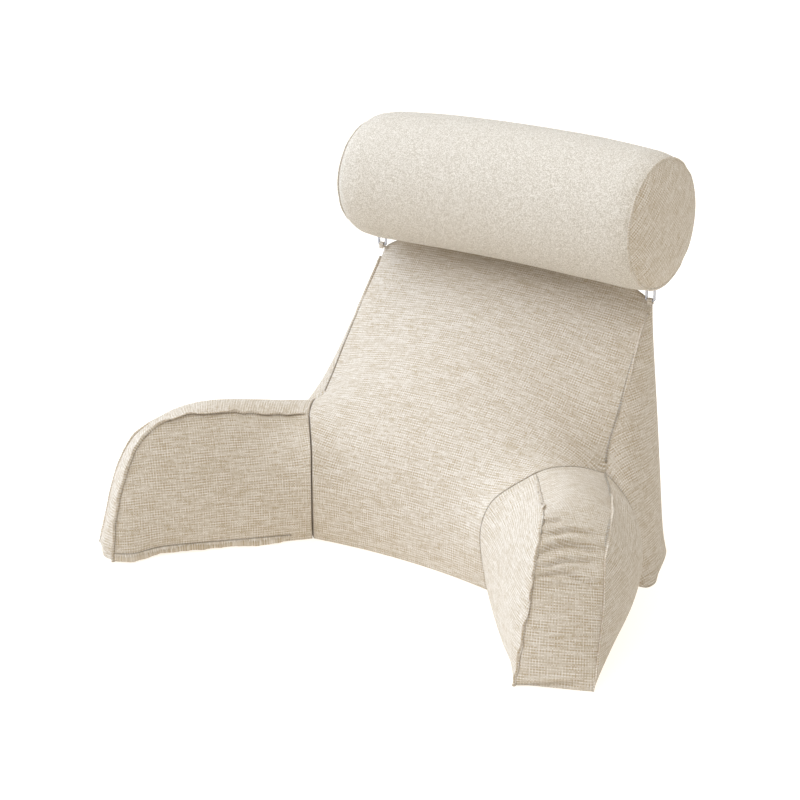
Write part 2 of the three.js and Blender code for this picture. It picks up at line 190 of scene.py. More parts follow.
def lay_cloth(grid, weft_way=None):
    """Two coordinates per point, in metres: along the weft, which is the surface direction nearest
    to weft_way (or the grid's own rows), and along the warp, square to it."""
    normal = normals_of(grid)
    way = np.gradient(grid, axis=1) if weft_way is None else np.broadcast_to(weft_way, grid.shape)
    weft = way - normal * (normal * way).sum(2, keepdims=True)
    weft = weft / np.maximum(np.linalg.norm(weft, axis=2, keepdims=True), 1e-12)
    laid = []
    for way in (weft, np.cross(normal, weft)):
        row_step = (np.diff(grid, axis=1) * (way[:, 1:] + way[:, :-1]) / 2).sum(2)
        column_step = (np.diff(grid, axis=0) * (way[1:] + way[:-1]) / 2).sum(2)
        middle = grid.shape[1] // 2
        rows = np.pad(np.cumsum(row_step, 1), ((0, 0), (1, 0)))
        value = rows - rows[:, middle:middle + 1]
        value += np.pad(np.cumsum(column_step[:, middle]), (1, 0))[:, None]
        count = np.full(value.shape, 4.0)
        count[[0, -1]] -= 1
        count[:, [0, -1]] -= 1
        for _ in range(LAYING):
            total = np.zeros_like(value)
            total[:, 1:] += value[:, :-1] + row_step
            total[:, :-1] += value[:, 1:] - row_step
            total[1:] += value[:-1] + column_step
            total[:-1] += value[1:] - column_step
            value = total / count
        laid.append(value)
    return np.stack(laid, 2)


# %% [markdown]
# ## Sewing panels into one closed skin
# Neighbouring panels share their seam points exactly, so welding equal points closes the skin. Each
# panel keeps the numbers of its own points, which later says where to hold, gather or crease it.

# %% Skins
def sew(panels, middle):
    """Welds panels (name, grid, cloth coordinates) and returns the points, the quads with their
    cloth coordinates, and the point numbers of each panel's grid."""
    points = np.vstack([grid.reshape(-1, 3) for _, grid, _ in panels])
    _, first, number = np.unique(np.round(points / 1e-7).astype(np.int64), axis=0,
                                 return_index=True, return_inverse=True)
    number = number.reshape(-1)
    quads, cloths, numbers, at = [], [], {}, 0
    for name, grid, cloth in panels:
        own = number[at:at + grid.shape[0] * grid.shape[1]].reshape(grid.shape[:2])
        at += own.size
        order = [(0, 0), (0, 1), (1, 1), (1, 0)]
        if not faces_out(grid, middle):
            order.reverse()
        rows, columns = own.shape
        corner = lambda a, dj, di: a[dj:rows - 1 + dj, di:columns - 1 + di]
        quads.append(np.stack([corner(own, *o) for o in order], 2).reshape(-1, 4))
        cloths.append(np.stack([corner(cloth, *o) for o in order], 2).reshape(-1, 4, 2))
        numbers[name] = own
    return points[first], np.vstack(quads), np.vstack(cloths), numbers


def object_of(name, data):
    made = bpy.data.objects.new(name, data)
    bpy.context.scene.collection.objects.link(made)
    return made


def piece_of(name, points, faces, cloth, painted_seam_shade=None):
    """A mesh object from points, faces of four corners and cloth coordinates for each corner."""
    mesh = bpy.data.meshes.new(name)
    mesh.from_pydata(points.tolist(), [], faces.tolist())
    mesh.uv_layers.new(name="cloth").data.foreach_set("uv", cloth.astype(np.float32).ravel())
    mesh.polygons.foreach_set("use_smooth", np.ones(len(faces), bool))
    if painted_seam_shade is not None:
        marked = mesh.attributes.new("painted_seam_shade", "FLOAT", "POINT")
        marked.data.foreach_set("value", painted_seam_shade.astype(np.float32))
    mesh.update()
    return object_of(name, mesh)


def read(items, name, width=1, kind=float):
    """One value of every item of a mesh, such as its vertices, in rows of width numbers."""
    flat = np.zeros(len(items) * width, kind)
    items.foreach_get(name, flat)
    return flat.reshape(-1, width) if width > 1 else flat


def points_of(mesh):
    return read(mesh.vertices, "co", 3)


def put_points(mesh, points):
    mesh.vertices.foreach_set("co", points.astype(np.float32).ravel())
    mesh.update()


def mark_seams(piece, lines):
    """Each line is (row of points, depth in mm, shade of its painted seam darkening). Keeps the edges
    along the row sharp, sinks its points by depth against their normals, and writes an attribute of
    painted shade: the line's shade on seams, 0 a row away; the material darkens the colour by it."""
    mesh = piece.data
    count = len(mesh.vertices)
    ends = np.sort(read(mesh.edges, "vertices", 2, int), 1)
    pairs = np.vstack([np.sort(np.stack([line[:-1], line[1:]], 1), 1) for line, *_ in lines])
    sharp = np.isin(ends[:, 0] * count + ends[:, 1], pairs[:, 0] * count + pairs[:, 1])
    mesh.attributes.new("crease_edge", "FLOAT", "EDGE").data.foreach_set("value", sharp.astype(np.float32))
    painted_shade_on_seam, sunk = np.zeros(count, np.float32), np.zeros(count)
    for line, depth, shade in lines:
        painted_shade_on_seam[line] = np.maximum(painted_shade_on_seam[line], shade)
        sunk[line] = np.maximum(sunk[line], depth * MM)
    mesh.attributes.new("painted_seam_shade", "FLOAT", "POINT").data.foreach_set("value", painted_shade_on_seam)
    points = points_of(mesh) - read(mesh.vertex_normals, "vector", 3) * sunk[:, None]
    points[:, 2] = np.maximum(points[:, 2], 0.0)
    put_points(mesh, points)


# %% [markdown]
# ## Stuffing by pressure
# A stuffed cover is a skin under pressure, held by its seams. It could be sculpted, but a short cloth
# simulation finds the even swell, the drawn-in sides and the small gathers beside a seam by itself.
# Gravity is off, the seams that lie on the ground or against a neighbour are pinned, the sewn edges
# shrink a little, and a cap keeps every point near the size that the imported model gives.

# %% Inflating a skin
FRAMES = 20


def group(piece, name, indices, weight=1.0):
    found = piece.vertex_groups.get(name) or piece.vertex_groups.new(name=name)
    found.add(np.unique(indices).tolist(), weight, "REPLACE")


def inflate(piece, numbers, pressure, cap, shrink=0.05, calm=8, stiffness=15.0, bending=0.5):
    """Runs the cloth for a few frames. Each point's step d is first calmed, by rounds of the mean of
    its four neighbours inside a panel, which takes out stray wrinkles, and then shortened to
    cap * tanh(|d| / cap), so that nothing leaves the model's own size."""
    cloth = piece.modifiers.new("cloth", "CLOTH")
    cloth.settings.quality = 5
    cloth.settings.mass = 0.3
    cloth.settings.tension_stiffness = cloth.settings.compression_stiffness = stiffness
    cloth.settings.shear_stiffness = stiffness / 3
    cloth.settings.bending_stiffness = bending
    cloth.settings.use_pressure = True
    cloth.settings.uniform_pressure_force = pressure
    cloth.settings.effector_weights.gravity = 0.0
    cloth.settings.vertex_group_mass = "held"
    cloth.settings.vertex_group_shrink = "sewn"
    cloth.settings.shrink_max = shrink
    cloth.collision_settings.use_collision = False
    cloth.point_cache.frame_start, cloth.point_cache.frame_end = 1, FRAMES
    scene = bpy.context.scene
    for number in range(1, FRAMES + 1):
        scene.frame_set(number)
    shown = piece.evaluated_get(bpy.context.evaluated_depsgraph_get())
    swollen, start = points_of(shown.data), points_of(piece.data)
    piece.modifiers.remove(cloth)
    scene.frame_set(1)
    step = swollen - start
    for own in numbers.values():
        part = step[own]
        for _ in range(calm):
            part[1:-1, 1:-1] = four_mean(part)
        step[own[1:-1, 1:-1]] = part[1:-1, 1:-1]
    length = np.linalg.norm(step, axis=1, keepdims=True)
    limit = cap * MM
    put_points(piece.data, start + step * limit * np.tanh(length / limit) / np.maximum(length, 1e-9))
    print(piece.name, "swelled by", round(float(length.mean()) / MM, 1), "mm, at most",
          round(float(length.max()) / MM, 1), "mm, capped near", cap)


# %% [markdown]
# ## Sewn edges
# Where two panels meet, this cover shows its seam allowance: a narrow double fold that stands up from
# the arm, waves a little and throws a thin shadow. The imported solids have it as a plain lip. Here a
# rounded profile is carried along the sewn line, and its lean and height drift along the way.

# %% A lip along a seam
def drift(length, wave, seed):
    """A slow random run from -1 to 1 along a length: random values every wave metres, joined by
    cosine steps."""
    rng = np.random.default_rng(seed)
    at = length / wave
    knots = rng.uniform(-1, 1, int(at.max()) + 3)
    low = np.floor(at).astype(int)
    share = (1 - np.cos(np.pi * (at - low))) / 2
    return knots[low] * (1 - share) + knots[low + 1] * share


def smoothed(rows, rounds):
    for _ in range(rounds):
        rows[1:-1] = (rows[:-2] + 2 * rows[1:-1] + rows[2:]) / 4
    return rows


def unit(rows):
    return rows / np.maximum(np.linalg.norm(rows, axis=-1, keepdims=True), 1e-12)


TURN = np.linspace(0, 2 * np.pi, 17)[:-1]  # the angles of a profile's points


def rounded(wave, power):
    """A wave pushed towards a square one: its size to a power under 1, its sign kept."""
    return np.sign(wave) * np.abs(wave) ** power


def lip(line, beside, height, thick, seed, sway=0.45, lean=0.0, root=4.0, ends=(0.85, 0.85)):
    """A flat oval profile, thick by (height + root) in mm, carried along a line. Its foot is sunk
    towards the points beside; its crest stands away from them and leans by a slow random slope
    about lean. At each end it drops to a share, ends, of its height."""
    along = unit(np.gradient(line, axis=0))
    length = run_of(line)
    inward = beside - line
    inward = unit(inward - along * (inward * along).sum(1, keepdims=True))
    inward = unit(smoothed(inward, 6))
    across = unit(np.cross(inward, along))
    lean = lean + sway * (0.7 * drift(length, 0.045, seed) + 0.5 * drift(length, 0.011, seed + 1))
    tall = height * MM * (1 + 0.12 * drift(length, 0.02, seed + 2) + 0.06 * drift(length, 0.006, seed + 3))
    share = length / length[-1]
    tall = tall * (ends[0] + (1 - ends[0]) * np.clip(share / 0.05, 0, 1))
    tall = tall * (ends[1] + (1 - ends[1]) * np.clip((1 - share) / 0.03, 0, 1))
    wide = rounded(np.cos(TURN), 0.7) * thick * MM / 2
    up = (rounded(np.sin(TURN), 0.8) + 1) / 2
    rise_to = -root * MM + up[None, :] * (tall[:, None] + root * MM)
    bend = lean[:, None] * np.clip(rise_to, 0, None)
    ring = (line[:, None] - inward[:, None] * rise_to[..., None]
            + across[:, None] * (wide[None, :] + bend)[..., None])
    ring[..., 2] = np.maximum(ring[..., 2], 0.0002)
    # painted shade at the lip's foot: 1 at its sunk root, fading to 0 at 0.12 of its height; it joins the
    # piece's painted seam shade
    low = np.clip(1 - rise_to / (0.12 * height * MM), 0, 1)
    return (*tube(ring, length, run_of(ring[0])), low.reshape(-1))


def tube(ring, length, around):
    """Joins rings of points into a tube, closes each end by a band of quads across it, and turns the
    faces outwards. The cloth coordinates are the ways around a ring and along the tube."""
    count, size = ring.shape[:2]
    number = np.arange(count * size).reshape(count, size)
    a, b = number[:-1], number[1:]
    quads = np.stack([a, np.roll(a, -1, 1), np.roll(b, -1, 1), b], 2).reshape(-1, 4)
    full = np.append(around, around[-1] + around[1])
    u, v = np.broadcast_to(length[:, None], (count, size + 1)), np.broadcast_to(full, (count, size + 1))
    grid = np.stack([v, u], 2)
    cloth = np.stack([grid[:-1, :-1], grid[:-1, 1:], grid[1:, 1:], grid[1:, :-1]], 2).reshape(-1, 4, 2)
    caps, cap_cloth, half = [], [], size // 2
    for k, way in ((0, 1), (count - 1, -1)):
        low, high = number[k, :half], number[k, half:][::-1]
        band = np.stack([low[:-1], high[:-1], high[1:], low[1:]], 1)[:, ::way]
        caps.append(band)
        cap_cloth.append(np.zeros((len(band), 4, 2)) + length[k])
    faces = np.vstack([quads, *caps])
    if not looks_out(ring[count // 2], ring[count // 2 + 1]):
        faces, cloth = faces[:, ::-1], cloth[:, ::-1]
    return ring.reshape(-1, 3), faces, np.vstack([cloth, *cap_cloth])


def looks_out(ring, next_ring):
    """True where a face between two rings looks away from the first ring's middle."""
    return np.cross(ring[1] - ring[0], next_ring[0] - ring[0]) @ (ring[0] - ring.mean(0)) > 0


def mirror_skin(points, faces, cloth, *rest):
    """A skin's mirror image, its faces turned round so that they still look outwards."""
    return (mirrored(points), faces[:, ::-1], cloth[:, ::-1], *rest)


def crease(points, normals, creases, down):
    """Each crease is a row of points, a depth and a width. Along it the cloth sinks by
    depth * exp(-d^2), and above it the cloth rises by 0.7 * depth * exp(-((d + 1.8) / 1.1)^2), where
    d is the distance to the row in widths, negative on the side that looks away from down."""
    moved = np.zeros(len(points))
    for row, depth, width in creases:
        reach = 5 * width * MM
        close = np.where(((points > row.min(0) - reach) & (points < row.max(0) + reach)).all(1))[0]
        spots = points[close]
        best, signed, share = np.full(len(close), np.inf), np.zeros(len(close)), np.zeros(len(close))
        for k, (a, b) in enumerate(zip(row[:-1], row[1:])):
            along = np.clip((spots - a) @ (b - a) / ((b - a) @ (b - a)), 0, 1)
            off = spots - a - along[:, None] * (b - a)
            far = np.linalg.norm(off, axis=1)
            near = far < best
            best[near], signed[near] = far[near], np.sign(off[near] @ down)
            share[near] = (k + along[near]) / (len(row) - 1)
        d = best * signed / (width * MM)
        taper = 0.4 + 0.6 * np.clip(share / 0.2, 0, 1)
        taper *= np.sin(np.pi / 2 * np.clip((1 - share) / 0.3, 0, 1)) ** 2
        moved[close] += depth * MM * taper * (0.7 * np.exp(-(((d + 1.8) / 1.1) ** 2)) - np.exp(-d**2))
    print("creases sink", round(-moved.min() / MM, 1), "mm and rise", round(moved.max() / MM, 1), "mm")
    points = points + normals * moved[:, None]
    points[:, 2] = np.maximum(points[:, 2], 0.0)
    return points


def finish_skin(piece, lips, creases=(), down=(0, 0, -1)):
    """Subdivides a skin once, keeps the result, creases it and joins the sewn lips to it."""
    smooth = piece.modifiers.new("smooth", "SUBSURF")
    smooth.levels = smooth.render_levels = 1
    shown = piece.evaluated_get(bpy.context.evaluated_depsgraph_get())
    fine = bpy.data.meshes.new_from_object(shown)
    piece.modifiers.clear()
    points = points_of(fine)
    if len(creases):
        points = crease(points, read(fine.vertex_normals, "vector", 3), creases, np.array(down, float))
    skin = (points, read(fine.loops, "vertex_index", kind=int).reshape(-1, 4),
            read(fine.uv_layers["cloth"].data, "uv", 2).reshape(-1, 4, 2),
            read(fine.attributes["painted_seam_shade"].data, "value"))
    # seams: the painted seam shade of each point, from the skin and from the lips' feet
    points, faces, cloth, seams = zip(skin, *lips)
    starts = np.cumsum([0, *map(len, points)])
    faces = [own + start for own, start in zip(faces, starts)]
    name, old = piece.name, piece.data
    bpy.data.objects.remove(piece)
    bpy.data.meshes.remove(old)
    made = piece_of(name, np.vstack(points), np.vstack(faces), np.vstack(cloth), np.concatenate(seams))
    print(name, "has", len(made.data.polygons), "faces")
    return made


# %% [markdown]
# ## The neck roll
# A barrel of canvas with a round end piece sewn into each end. A lathe would leave a pinched pole in
# the middle of each end and no place for gathers, so an end is a square of cloth hung in the round
# seam like the other sheets, and the barrel is a grid of its length and its way round.

# %% Roll sizes and its skin
ROLL = {"x": 4, "y": 260, "z": 446, "bow": 8, "rise": 2.5, "rest": 0.6}
ROLL_END_CROWN = {-1: 21, 1: 12}  # left and right end, mm
ROLL_STATIONS = np.array([[-240, 77], [-226, 85], [-200, 89], [-120, 91.5],
                          [0, 92.5], [120, 93.5], [204, 92], [231, 89]], float)
ROLL_LEFT, ROLL_RIGHT = ROLL_STATIONS[0, 0], ROLL_STATIONS[-1, 0]
ROLL_AROUND, ROLL_ALONG = 112, 84
START_ROLL = 0.996  # the skin starts this much slimmer, because pressure swells it
ROLL_CLOTH_RADIUS = 0.0905  # m, turns the way round the barrel into cloth coordinates


def roll_radius(x):
    return np.interp(x, ROLL_STATIONS[:, 0], ROLL_STATIONS[:, 1])


def roll_axis(x):
    """Height of the roll's axis: bowed up over the wedge and a little higher at its right end."""
    return ROLL["z"] + ROLL["bow"] * (1 - (x / ROLL_RIGHT) ** 2) + ROLL["rise"] * x / ROLL_RIGHT


def roll_point(x, angle, radius):
    """A point of the roll in metres: radius round the bowed axis, at an angle from straight up."""
    rows = np.stack(np.broadcast_arrays(ROLL["x"] + x, ROLL["y"] + radius * np.sin(angle),
                                        roll_axis(x) + radius * np.cos(angle)), -1)
    return (rows + (0.0, DEPTH_SHIFT, 0.0)) * MM


def roll_end(x, side):
    """A square of cloth relaxed inside the round end seam, crowned by 1 - (r / R)^2.4."""
    radius = float(roll_radius(x)) * START_ROLL
    quarter = ROLL_AROUND // 4
    angle = (np.arange(ROLL_AROUND + 1) - quarter / 2) * 2 * np.pi / ROLL_AROUND
    ring = roll_point(x, angle, radius)
    top, right = ring[:quarter + 1], ring[quarter:2 * quarter + 1][::-1]
    bottom, left = ring[2 * quarter:3 * quarter + 1][::-1], ring[3 * quarter:4 * quarter + 1].copy()
    left[-1] = ring[0]
    grid = sheet(bottom, right, top, left)
    centre = roll_point(x, 0.0, 0.0)
    away = np.linalg.norm((grid - centre)[..., 1:], axis=2) / (radius * MM)
    grid[..., 0] += side * ROLL_END_CROWN[side] * MM * (1 - np.clip(away, 0, 1) ** 2.4)
    grid[0], grid[-1], grid[:, 0], grid[:, -1] = bottom, top, left, right
    return grid


def roll_panels():
    x = np.linspace(ROLL_LEFT, ROLL_RIGHT, ROLL_ALONG + 1)[None, :]
    angle = ((np.arange(ROLL_AROUND + 1) - ROLL_AROUND / 8) * 2 * np.pi / ROLL_AROUND)[:, None]
    angle = np.where(np.arange(ROLL_AROUND + 1)[:, None] == ROLL_AROUND, angle[0, 0], angle)
    barrel = roll_point(x, angle, roll_radius(x) * START_ROLL)
    around = np.arange(ROLL_AROUND + 1)[:, None] * 2 * np.pi / ROLL_AROUND * ROLL_CLOTH_RADIUS
    cloth = np.stack(np.broadcast_arrays(x * MM, around), 2)
    turned = np.array([0.0, 1.0, 1.0])
    ends = [(name, grid, lay_cloth(grid, turned))
            for name, grid in (("right", roll_end(ROLL_RIGHT, 1)), ("left", roll_end(ROLL_LEFT, -1)))]
    return [("barrel", barrel, cloth), *ends]


roll_points, roll_quads, roll_cloth, roll_numbers = sew(roll_panels(), roll_point(0.0, 0.0, 0.0))
roll = piece_of("neck_roll", roll_points, roll_quads, roll_cloth)
print("roll skin:", len(roll_points), "points,", len(roll_quads), "quads")

# %% Stuff the roll
barrel = roll_numbers["barrel"]
rings = {"left": barrel[:-1, 0], "right": barrel[:-1, -1]}
group(roll, "held", barrel[:-1, ROLL_ALONG // 2], 0.4)
for ring in rings.values():
    group(roll, "sewn", ring, 1.0)
inflate(roll, roll_numbers, pressure=4.0, cap=5.0, shrink=0.03, calm=4)
print("roll box:", points_of(roll.data).min(0).round(4), points_of(roll.data).max(0).round(4))

# %% [markdown]
# ## The wedge
# The back rests against a stuffed wedge: a crowned front, an upright back, a flat foot, a side at
# each end and, low on each side, the D-shaped patch where an arm is sewn on. Its top seam follows
# the roll that lies on it. Each panel is a sheet between shared seams.

# %% Wedge panels
CELLS = {"width": 20, "arm": 14, "height": 12, "thick": 5, "lean": 8}
CROWN = {"front": 40, "back": 20, "side": 7, "arm_inner": 13, "arm_outer": 38, "gusset": 7.5}
FOOT_BOW, BACK_BOW = 13, 4
START_CROWN = 0.9  # the sheets start this much flatter, because pressure swells them
WEDGE_FINE = 4


def top_seam(cells):
    """The line under the roll: the lower of the roll's two mirrored undersides, dropping to the
    wedge's corners by the ninth power of the distance from the middle."""
    x = BACK_TOP[0] * np.linspace(-1, 1, cells + 1)
    under = np.minimum(roll_axis(x) - roll_radius(x), roll_axis(-x) - roll_radius(-x)) + ROLL["rest"]
    drop = (under - BACK_TOP[2]) * np.abs(x / BACK_TOP[0]) ** 9
    return in_frame(np.stack([x, np.full(len(x), BACK_TOP[1]), under - drop], 1))


def across(corner, bow, cells):
    """A seam between a corner and its mirror image, drawn back in its middle by bow."""
    corner = in_frame(corner)
    share = np.linspace(0, 1, cells + 1)[:, None]
    line = mirrored(corner) * (1 - share) + corner * share
    line[:, 1] += bow * MM * (1 - (2 * share[:, 0] - 1) ** 2)
    return line


def joined(*lines):
    return np.vstack([lines[0], *[line[1:] for line in lines[1:]]])


def root_grid(fine):
    height, thick = CELLS["height"] * fine, CELLS["thick"] * fine
    return sheet(seam("root_foot", thick), seam("root_outer", height),
                 seam("root_top", thick), seam("root_inner", height))


def wedge_panels(fine):
    width, height, thick, lean = (CELLS[k] * fine for k in ("width", "height", "thick", "lean"))
    rise = joined(seam("root_inner", height), seam("root_top", thick), seam("flank", lean))
    foot_side = joined(seam("root_foot", thick), seam("flank_foot", lean))
    back, top = seam("back_edge", height), top_seam(width)
    front_foot, back_foot = across(FOOT_INNER, FOOT_BOW, width), across(BACK_FOOT, BACK_BOW, width)
    front = sheet(front_foot, rise, top, mirrored(rise), CROWN["front"] * START_CROWN, WEDGE_MIDDLE, 2.0)
    rear = sheet(back_foot, back, top, mirrored(back), CROWN["back"] * START_CROWN, WEDGE_MIDDLE)
    foot = sheet(front_foot, foot_side, back_foot, mirrored(foot_side))
    side = sheet(seam("flank_foot", lean), back, seam("flank", lean), seam("root_outer", height),
                 CROWN["side"], WEDGE_MIDDLE)
    root = root_grid(fine)
    wide, deep = np.array([1.0, 0, 0]), np.array([0, 1.0, 0])
    panels = [("front", front, wide), ("rear", rear, wide), ("foot", foot, wide),
              ("side_right", side, deep), ("side_left", mirrored(side), deep),
              ("root_right", root, deep), ("root_left", mirrored(root), deep)]
    return [(name, grid, lay_cloth(grid, way)) for name, grid, way in panels]


wedge_points, wedge_quads, wedge_cloth, wedge_numbers = sew(wedge_panels(WEDGE_FINE), WEDGE_MIDDLE)
wedge = piece_of("wedge_cushion", wedge_points, wedge_quads, wedge_cloth)
print("wedge skin:", len(wedge_points), "points,", len(wedge_quads), "quads")

# %% Stuff the wedge
front_numbers = wedge_numbers["front"]
flank_start = (CELLS["height"] + CELLS["thick"]) * WEDGE_FINE
for name in ("foot", "root_right", "root_left"):
    group(wedge, "held", wedge_numbers[name])
group(wedge, "held", front_numbers[-1])
for line in (front_numbers[flank_start:, 0], front_numbers[flank_start:, -1],
             wedge_numbers["rear"][:, 0], wedge_numbers["rear"][:, -1]):
    group(wedge, "sewn", line)
inflate(wedge, wedge_numbers, pressure=4.0, cap=6.0, shrink=0.02)


def seam_lip(points, numbers_line, beside_a, beside_b, **how):
    """A lip along a row of the skin's points, sunk towards the mean of the rows on either side."""
    line = points[numbers_line]
    beside = (points[beside_a] + points[beside_b]) / 2
    return lip(line, beside, **how)


root_edges = [wedge_numbers[name][edge] for name in ("root_right", "root_left")
              for edge in (np.s_[-1], np.s_[:, 0], np.s_[:, -1], np.s_[0])]
rear = wedge_numbers["rear"]
flank_seams = [front_numbers[flank_start:, 0], front_numbers[flank_start:, -1]]
plain_seams = [front_numbers[-1], front_numbers[0], rear[:, 0], rear[:, -1], rear[0],
               wedge_numbers["side_right"][0], wedge_numbers["side_left"][0]]
# each seam: its row, how deep it sinks in mm, and how dark its painted shade is
mark_seams(wedge, [(line, 0.8, 0.9) for line in plain_seams] + [(line, 0.8, 0.7) for line in flank_seams]
           + [(line, 1.0, 1.0) for line in root_edges])
swollen = points_of(wedge.data)
side_right, side_left = wedge_numbers["side_right"], wedge_numbers["side_left"]
wedge_lips = []
for edge, beside, side, seed in ((-1, -2, side_right, 11), (0, 1, side_left, 23)):
    rows = slice(flank_start + 2, -2)
    wedge_lips.append(seam_lip(swollen, front_numbers[rows, edge], front_numbers[rows, beside],
                               side[-2][2:-2], height=3.2, thick=2.4, seed=seed, sway=0.35, root=3.0))
wedge = finish_skin(wedge, wedge_lips)

# %% [markdown]
# ## The arms
# An arm is a stuffed box with no box edges: an inner and an outer face, a gusset that runs over its
# top and down its front, a foot, and the sewn root. One arm is stuffed, and its mirror image makes
# the other, but each has its own creases, because no two sewn arms crease alike.

# %% Arm panels
ARM_FINE = 5
SEAM_GAP = 0.55  # mm between an arm and the wedge


def arm_panels(fine):
    arm, height, thick = (CELLS[k] * fine for k in ("arm", "height", "thick"))
    inner_top = seam("inner_flange", arm, 0, INNER_BEND)
    outer_top = seam("outer_flange", arm, 0, OUTER_BEND)
    inner_front = seam("inner_flange", height, 1, INNER_BEND)
    outer_front = seam("outer_flange", height, 1, OUTER_BEND)
    inner_foot, outer_foot = seam("inner_foot", arm), seam("outer_foot", arm)
    root_foot, tip_foot = seam("root_foot", thick), seam("tip_foot", thick)
    inner_line = joined(inner_top, inner_front[::-1])
    outer_line = joined(outer_top, outer_front[::-1])
    inner = sheet(inner_foot, inner_front, inner_top, seam("root_inner", height),
                  CROWN["arm_inner"] * START_CROWN, ARM_MIDDLE)
    outer = sheet(outer_foot, outer_front, outer_top, seam("root_outer", height),
                  CROWN["arm_outer"] * START_CROWN, ARM_MIDDLE)
    gusset = sheet(seam("root_top", thick), outer_line, tip_foot, inner_line,
                   CROWN["gusset"] * START_CROWN, ARM_MIDDLE, 2.0, True)
    foot = sheet(root_foot, outer_foot, tip_foot, inner_foot)
    way = unit(in_frame(TIP_INNER) - in_frame(FOOT_INNER))
    level = np.array([way[0], way[1], 0.0])
    panels = [("inner", inner, level), ("outer", outer, level), ("gusset", gusset, None),
              ("foot", foot, level), ("root", root_grid(fine), level)]
    return [(name, grid, lay_cloth(grid, turn)) for name, grid, turn in panels]


arm_points, arm_quads, arm_cloth, arm_numbers = sew(arm_panels(ARM_FINE), ARM_MIDDLE)
arm = piece_of("arm_skin", arm_points, arm_quads, arm_cloth)
for name in ("foot", "root"):
    group(arm, "held", arm_numbers[name])
for column in (0, -1):
    group(arm, "sewn", arm_numbers["gusset"][:, column])
inflate(arm, arm_numbers, pressure=4.0, cap=8.0, shrink=0.015, calm=30)
print("arm skin:", len(arm_points), "points,", len(arm_quads), "quads")

# %% [markdown]
# ## Creases
# Pressure makes the swell, but the soft creases that run in from a tight seam come from how the cover
# was pulled on. Each is a row in a table: points on the gusset, in shares of its width and length, and
# how deep and wide it is. The cloth sinks along the row and stands up a little above it. A second
# table pulls each arm's cloth to where the photo shows its tip and flanges.

# %% Creases, and the two arms
GUSSET_CREASES = {  # points (across, along), then depth and width in mm; across runs from the inner to
    "right": [  # the outer flange, along from the bend (0) to the tip (1)
        ([(0.01, 0.017), (0.14, 0.00), (0.30, -0.035)], 2.2, 3.5),
        ([(0.01, 0.116), (0.19, 0.105), (0.37, 0.058), (0.63, 0.052), (0.95, 0.064)], 2.6, 3.5),
        ([(0.02, 0.256), (0.15, 0.215), (0.32, 0.174), (0.51, 0.163), (0.73, 0.174), (0.99, 0.192)],
         4.2, 4.5),
        ([(0.01, 0.326), (0.16, 0.320), (0.34, 0.280), (0.60, 0.262), (0.97, 0.256)], 2.8, 3.5),
        ([(0.01, 0.384), (0.18, 0.366), (0.38, 0.343), (0.63, 0.378), (0.99, 0.407)], 3.2, 3.5),
        ([(0.03, 0.442), (0.25, 0.419), (0.60, 0.424), (0.99, 0.442)], 1.5, 3.5),
        ([(0.04, 0.99), (0.36, 0.975), (0.71, 0.955), (0.99, 0.91)], 3.4, 4.0),
    ],
    "left": [
        ([(0.01, 0.05), (0.40, 0.02), (0.80, 0.04)], 2.0, 4.0),
        ([(0.01, 0.20), (0.45, 0.17), (0.95, 0.20)], 2.4, 4.0),
        ([(0.01, 0.36), (0.50, 0.33), (0.90, 0.37)], 1.8, 3.5),
        ([(0.04, 0.97), (0.50, 0.95), (0.96, 0.93)], 2.4, 4.0),
    ],
}
INNER_LIP = {"right": {"height": 2.4, "thick": 1.4, "lean": 0.5, "sway": 0.9},  # lies over the face
             "left": {"height": 3.8, "thick": 2.0, "lean": 0.0, "sway": 0.6}}  # stands up
PULLS = {  # each arm's cloth is pulled near a point by (x, y, z), within a reach, all in mm
    "right": [(TIP_OUTER, (5, -2, 0), 45), ([388, -128, 70], (5, -1, 0), 50)],
    "left": [(TIP_OUTER, (-26, -14, 0), 75), ([357, -183, 0], (-4, -15, 0), 30),
             ([250, -50, 175], (1, 0, 6), 70), ([306, -140, 150], (4, -2, 2), 45),
             ([320, -190, 60], (5, -4, 0), 50), ([303, -182, 0], (-8, -11, 0), 22),
             ([345, -40, 150], (4, -1, 6), 55), ([375, -100, 108], (8, -3, 5), 55),
             ([388, -130, 50], (5, -3, 1), 45)],
}
KINKS = {"right": 1.3, "left": 0.9}  # how far, in mm, the inner flange's line wanders
LIP_SEEDS = {"right": 40, "left": 70}
HEM_ROW, HEM_START = 3, 8  # the row and first column of the inner face that the hem hangs from


def on_grid(grid, across, along):
    """Points of a grid at shares of its rows and columns, mixed from the four points around each."""
    j, i = along * (grid.shape[0] - 1), across * (grid.shape[1] - 1)
    j0, i0 = np.minimum(j.astype(int), grid.shape[0] - 2), np.minimum(i.astype(int), grid.shape[1] - 2)
    v, u = (j - j0)[:, None], (i - i0)[:, None]
    return ((1 - v) * ((1 - u) * grid[j0, i0] + u * grid[j0, i0 + 1])
            + v * ((1 - u) * grid[j0 + 1, i0] + u * grid[j0 + 1, i0 + 1]))


def crease_rows(gusset, side):
    """The table's creases as rows of points on the gusset."""
    bend = CELLS["arm"] / (CELLS["arm"] + CELLS["height"])
    rows = []
    for table, depth, width in GUSSET_CREASES[side]:
        path = smooth_curve(np.array([(across, along, 0.0) for across, along in table]), 16)
        rows.append((on_grid(gusset, path[:, 0], bend + path[:, 1] * (1 - bend)), depth, width))
    return rows


